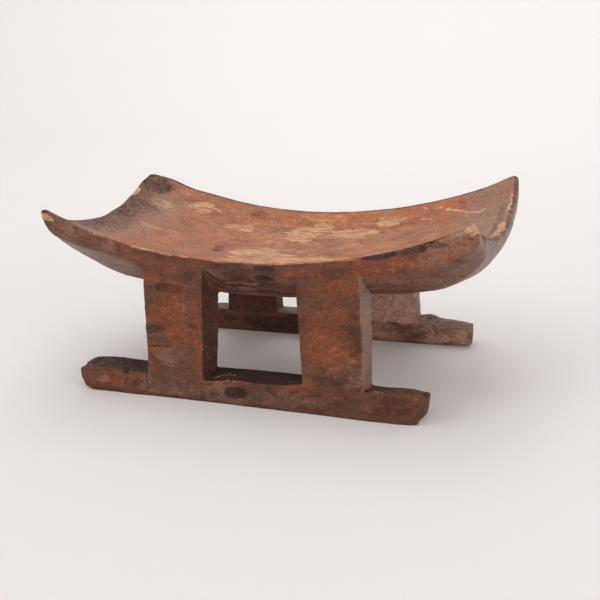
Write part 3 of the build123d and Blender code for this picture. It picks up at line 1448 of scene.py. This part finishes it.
def mask_group() -> bpy.types.NodeTree:
    """Turn a smooth amount into a mask whose border a pattern breaks up.

    Returns:
        The group.
    """
    inputs = {"Amount": 0.0, "Pattern": 0.5, "Break": 0.6, "Softness": 0.3}
    group = EffectGroup("broken_mask", inputs, ("Mask",))
    sketch = group.sketch
    amount, pattern, break_up, softness = (group.entry.outputs[name] for name in inputs)
    swing = sketch.times(sketch.math("SUBTRACT", pattern, 0.5), break_up)
    foot = sketch.math("SUBTRACT", 0.5, softness)
    above = sketch.math("SUBTRACT", sketch.plus(amount, swing), foot)
    share = sketch.math("DIVIDE", above, sketch.times(softness, 2.0), clamp=True)
    group.give("Mask", sketch.times(share, sketch.spread_out(amount, 0.02, 0.25)))
    return group.tree


@dataclass(frozen=True)
class AgedWood:
    """The wood of the stool, under a patina that years of handling have left.

    Attributes:
        name: The material's name.
        deep: Dark brown of the patina.
        middle: Lighter brown of the patina.
        maroon: Purple-brown that tints it in places.
        olive: Green-brown that tints it elsewhere.
        red: Red-brown that comes through on the flat faces.
        orange: Brightest flecks in the red.
        dish: Warm brown of the dish.
        dish_shade: Darker brown of the dish.
        tan: Wood rubbed bare in the dish.
        gold: Brightest streaks in it.
        soot: Black-brown crust.
        ash: Grey-brown of weathered faces, which on the hull and bows also stands for a painted reflection
            and on the outer sides of the posts for painted light.
        stone: Pale grey-brown of the faces that were never smoothed, laid on the right part of the frames'
            inner faces, where it is also painted light from the right lamp.
        bare: Fresh pale wood in chips.
        speck_shade: Factor by which the smallest spots darken the wood.
        fleck_shade: Factor by which the next larger ones do.
        fibre_shade: Factor by which the fibres do.
        sheen: Strength of the reflections.
        grain_depth: Height of the fibres, in metres.
        pit_depth: Depth of the pits in rough faces, in metres.
        dent_depth: Depth of chips, cracks and sooty spots, in metres.
        crust_height: Height of the specks, in metres.
        relief: How strongly all of these heights show.
    """

    name: str = WOOD_SLOT
    deep: Colour = paint_chip(98, 60, 45)
    middle: Colour = paint_chip(146, 93, 66)
    maroon: Colour = paint_chip(112, 54, 46)
    olive: Colour = paint_chip(116, 96, 66)
    red: Colour = paint_chip(160, 86, 54)
    orange: Colour = paint_chip(204, 118, 60)
    dish: Colour = paint_chip(221, 138, 88)
    dish_shade: Colour = paint_chip(178, 104, 74)
    tan: Colour = paint_chip(222, 158, 112)
    gold: Colour = paint_chip(254, 203, 151)
    soot: Colour = paint_chip(50, 33, 28)
    ash: Colour = paint_chip(168, 136, 123)
    stone: Colour = paint_chip(226, 182, 163)
    bare: Colour = paint_chip(238, 186, 142)
    speck_shade: Colour = (0.61, 0.59, 0.57, 1.0)
    fleck_shade: Colour = (0.78, 0.76, 0.74, 1.0)
    fibre_shade: Colour = (0.90, 0.89, 0.88, 1.0)
    sheen: float = 0.32
    grain_depth: float = 0.10 * MM
    pit_depth: float = 0.6 * MM
    dent_depth: float = 0.12 * MM
    crust_height: float = 0.08 * MM
    relief: float = 0.8

    def make(
        self, grain: bpy.types.NodeTree, mottle: bpy.types.NodeTree, masks: bpy.types.NodeTree
    ) -> bpy.types.Material:
        """Build the material.

        Args:
            grain: The grain group.
            mottle: The mottle group.
            masks: The broken mask group.

        Returns:
            The wood.
        """
        material = bpy.data.materials.new(self.name)
        material.use_nodes = True
        sketch = Sketch(material.node_tree)
        times, plus, blend = sketch.times, sketch.plus, sketch.blend
        shader = material.node_tree.nodes["Principled BSDF"]
        shader.inputs["Specular IOR Level"].default_value = self.sheen
        fibres = sketch.node("ShaderNodeGroup", node_tree=grain).outputs
        spots = sketch.node("ShaderNodeGroup", node_tree=mottle).outputs
        held = {}
        for layer in Layer:
            held[layer] = sketch.node("ShaderNodeAttribute", attribute_name=layer.value).outputs["Fac"]

        def mask(layer: Layer, pattern: Socket, break_up: float, softness: float, most: float) -> Socket:
            """Make the mask of one layer.

            Args:
                layer: What the mask shows.
                pattern: The pattern that breaks its border.
                break_up: How strongly it breaks it.
                softness: How soft the border is.
                most: The greatest strength.

            Returns:
                The strength of the layer, 0 to most.
            """
            node = sketch.node("ShaderNodeGroup", node_tree=masks)
            sketch.feed(node.inputs["Amount"], held[layer])
            sketch.feed(node.inputs["Pattern"], pattern)
            node.inputs["Break"].default_value = break_up
            node.inputs["Softness"].default_value = softness
            return times(node.outputs["Mask"], most)

        def shade(under: Socket, pattern: Socket, darkest: Colour) -> Socket:
            """Darken a colour where a pattern is low."""
            return blend(1.0, under, blend(pattern, darkest, WHITE), "MULTIPLY")

        # Brown patina, through which the red wood comes
        cool = sketch.math("SUBTRACT", 1.0, spots["Hue"])
        patina = blend(spots["Patch"], self.deep, self.middle)
        patina = blend(times(cool, 0.5), patina, self.maroon)
        patina = blend(times(spots["Moss"], 0.5), patina, self.olive)
        glow = times(spots["Hue"], sketch.spread_out(spots["Fleck"], 0.35, 0.95))
        red = blend(times(glow, 0.72), self.red, self.orange)
        red = blend(times(spots["Cloud"], 0.3), red, self.deep)
        rust_mask = mask(RUST, spots["Patch"], 0.8, 0.45, 0.85)
        colour = blend(rust_mask, patina, red)

        # Warm dish, and gold where wood is rubbed bare
        dish = blend(spots["Patch"], self.dish_shade, self.dish)
        tints = (
            (cool, 0.42, self.maroon),
            (spots["Moss"], 0.36, self.olive),
            (spots["Cloud"], 0.36, self.tan),
            (rust_mask, 0.5, self.orange),
        )
        for pattern, strength, tint in tints:
            dish = blend(times(pattern, strength), dish, tint)
        colour = blend(sketch.spread_out(held[DISH], 0.3, 0.7), colour, dish)
        clouds = plus(times(spots["Cloud"], 0.6), times(fibres["Streak"], 0.4))
        worn_mask = mask(WORN, clouds, 1.2, 0.34, 0.86)
        colour = blend(worn_mask, colour, blend(fibres["Streak"], self.tan, self.gold))

        # Greyed and rough faces, soot and chips. The grey and the pale layers carry painted light and a
        # painted reflection as well
        ash_and_painted_light_mask = mask(ASH, spots["Patch"], 0.7, 0.45, 0.72)
        colour = blend(ash_and_painted_light_mask, colour, self.ash)
        pale_and_painted_light_mask = mask(STONE, spots["Patch"], 0.7, 0.45, 0.9)
        colour = blend(pale_and_painted_light_mask, colour, self.stone)
        hollow = times(sketch.spread_out(spots["Fleck"], 0.4, 0.1), held[PITS])
        colour = blend(times(hollow, 0.22), colour, self.soot)
        soot_mask = mask(SOOT, spots["Fleck"], 0.5, 0.4, 0.9)
        colour = blend(soot_mask, colour, self.soot)
        bare_mask = mask(BARE, spots["Speck"], 0.8, 0.25, 0.9)
        colour = blend(bare_mask, colour, self.bare)
        colour = shade(colour, spots["Speck"], self.speck_shade)
        colour = shade(colour, spots["Fleck"], self.fleck_shade)
        colour = blend(times(fibres["Crack"], 0.6), colour, self.soot)
        colour = shade(colour, fibres["Fibre"], self.fibre_shade)
        sketch.feed(shader.inputs["Base Color"], colour)

        rough = plus(times(spots["Fleck"], 0.22), 0.46)
        rough = plus(rough, times(held[DISH], -0.10))
        rough = plus(rough, times(held[POLISH], -0.2))
        rough = plus(rough, times(soot_mask, 0.25), clamp=True)
        sketch.feed(shader.inputs["Roughness"], rough)

        lines = times(fibres["Fibre"], self.grain_depth)
        rugged = plus(held[PITS], times(held[CUT], 0.4))
        pits = times(times(spots["Fleck"], rugged), self.pit_depth)
        dents = plus(plus(soot_mask, bare_mask), fibres["Crack"])
        chips = times(dents, -self.dent_depth)
        crust = times(spots["Speck"], self.crust_height)
        bump = sketch.node("ShaderNodeBump")
        bump.inputs["Strength"].default_value = self.relief
        bump.inputs["Distance"].default_value = 1.0
        sketch.feed(bump.inputs["Height"], plus(plus(lines, pits), plus(chips, crust)))
        sketch.feed(shader.inputs["Normal"], bump.outputs["Normal"])
        return material


# ---------------------------------------------------------------------------
# Stage
# ---------------------------------------------------------------------------


@dataclass
class Studio:
    """Pale sweep of paper, soft lights and the camera.

    Attributes:
        azimuth: Degrees that the camera stands to the right of straight ahead.
        elevation: Degrees that it looks down.
        roll: Degrees that it is tilted.
        distance: From the camera to the point it looks at, in metres.
        target: The point that it looks at.
        lens: Focal length in millimetres.
        sensor: Width of the camera's sensor, in millimetres.
        nearest: Distance at which the camera starts to see, in metres.
        floor_reach: Radius of the flat part of the sweep.
        sweep_radius: Radius of its curve up to the wall.
        wall_height: Height of the wall.
        curve_steps: How many flat strips make the curve.
        sides: How many sides the sweep has, seen from above.
        paper: Colour of the sweep.
        sky: Colour of the light all round.
    """

    azimuth: float = 20.991
    elevation: float = 18.132
    roll: float = -3.100
    distance: float = 0.828873
    target: Triple = (0.007392, 0.0, 0.061432)
    lens: float = 56.78
    sensor: float = 36.0
    nearest: float = 0.01
    floor_reach: float = 1.6
    sweep_radius: float = 0.8
    wall_height: float = 2.6
    curve_steps: int = 8
    sides: int = 64
    paper: Colour = (0.80, 0.775, 0.765, 1.0)
    sky: Colour = (0.97, 0.96, 0.97, 1.0)

    def camera(self) -> None:
        """Place the camera."""
        az, el, roll = (math.radians(a) for a in (self.azimuth, self.elevation, self.roll))
        back = Vector((math.sin(az) * math.cos(el), -math.cos(az) * math.cos(el), math.sin(el)))
        level = Vector((math.cos(az), math.sin(az), 0.0))
        upright = back.cross(level)
        right = math.cos(roll) * level + math.sin(roll) * upright
        up = -math.sin(roll) * level + math.cos(roll) * upright
        data = bpy.data.cameras.new("camera")
        data.sensor_width = self.sensor
        data.lens = self.lens
        data.clip_start = self.nearest
        camera = put_in_scene("camera", data)
        turn = Matrix((right, up, back)).transposed().to_4x4()
        camera.matrix_world = Matrix.Translation(Vector(self.target) + back * self.distance) @ turn
        bpy.context.scene.camera = camera

    def floor(self) -> None:
        """Lay the pale floor, which curves up into a wall all round."""
        outline = [(0.0, 0.0), (self.floor_reach, 0.0)]
        for step in range(1, self.curve_steps + 1):
            angle = math.radians(90 * step / self.curve_steps)
            reach = self.floor_reach + self.sweep_radius * math.sin(angle)
            outline.append((reach, self.sweep_radius * (1 - math.cos(angle))))
        outline.append((self.floor_reach + self.sweep_radius, self.wall_height))
        sides = self.sides
        points = []
        for reach, height in outline:
            for side in range(sides):
                angle = 2 * math.pi * side / sides
                points.append((reach * math.cos(angle), reach * math.sin(angle), height))
        faces = []
        for ring in range(len(outline) - 1):
            for side in range(sides):
                after = (side + 1) % sides
                corners = (side, side + sides, after + sides, after)
                faces.append([ring * sides + corner for corner in corners])
        mesh = bpy.data.meshes.new("floor")
        mesh.from_pydata(points, [], faces)
        mesh.polygons.foreach_set("use_smooth", [True] * len(faces))
        floor = put_in_scene("floor", mesh)
        material = bpy.data.materials.new("floor")
        material.use_nodes = True
        shader = material.node_tree.nodes["Principled BSDF"]
        shader.inputs["Base Color"].default_value = self.paper
        shader.inputs["Roughness"].default_value = 0.9
        shader.inputs["Specular IOR Level"].default_value = 0.2
        mesh.materials.append(material)

    def lamp(
        self, name: str, place: Triple, size: float, power: float, aim_at: Triple | None = None
    ) -> None:
        """Hang one soft square lamp.

        Args:
            name: What it is called.
            place: Where it hangs.
            size: Length of its side.
            power: Its power in watts.
            aim_at: Where it points. It points at the stool when this is left out.
        """
        data = bpy.data.lights.new(name, "AREA")
        data.size = size
        data.energy = power
        lamp = put_in_scene(name, data)
        lamp.location = place
        aim = Vector(aim_at or self.target) - Vector(place)
        lamp.rotation_euler = aim.to_track_quat("-Z", "Y").to_euler()

    def light(self) -> None:
        """Hang the lamps and light the room softly."""
        self.lamp("right", (1.45, -0.90, 0.62), 0.8, 7.0)
        self.lamp("left", (-1.20, -0.85, 0.90), 0.8, 4.0)
        self.lamp("top", (0.0, 0.3, 1.6), 1.0, 2.5)
        self.lamp("wall", (-0.2, 1.3, 1.9), 1.0, 12.0, (-0.3, 2.6, 0.6))
        world = bpy.data.worlds.new("studio")
        world.use_nodes = True
        background = world.node_tree.nodes["Background"]
        background.inputs["Color"].default_value = self.sky
        background.inputs["Strength"].default_value = 1.0
        bpy.context.scene.world = world
        bpy.context.scene.view_settings.view_transform = "Standard"

    def set_up(self) -> None:
        """Build the whole stage."""
        self.floor()
        self.light()
        self.camera()


def main() -> None:
    """Carve the stool and set the stage."""
    logging.basicConfig(level=logging.INFO, format="%(name)s: %(message)s")
    wood = AgedWood().make(grain_group(), mottle_group(), mask_group())
    STOOL.build(wood)
    Studio().set_up()


if __name__ == "__main__":
    main()
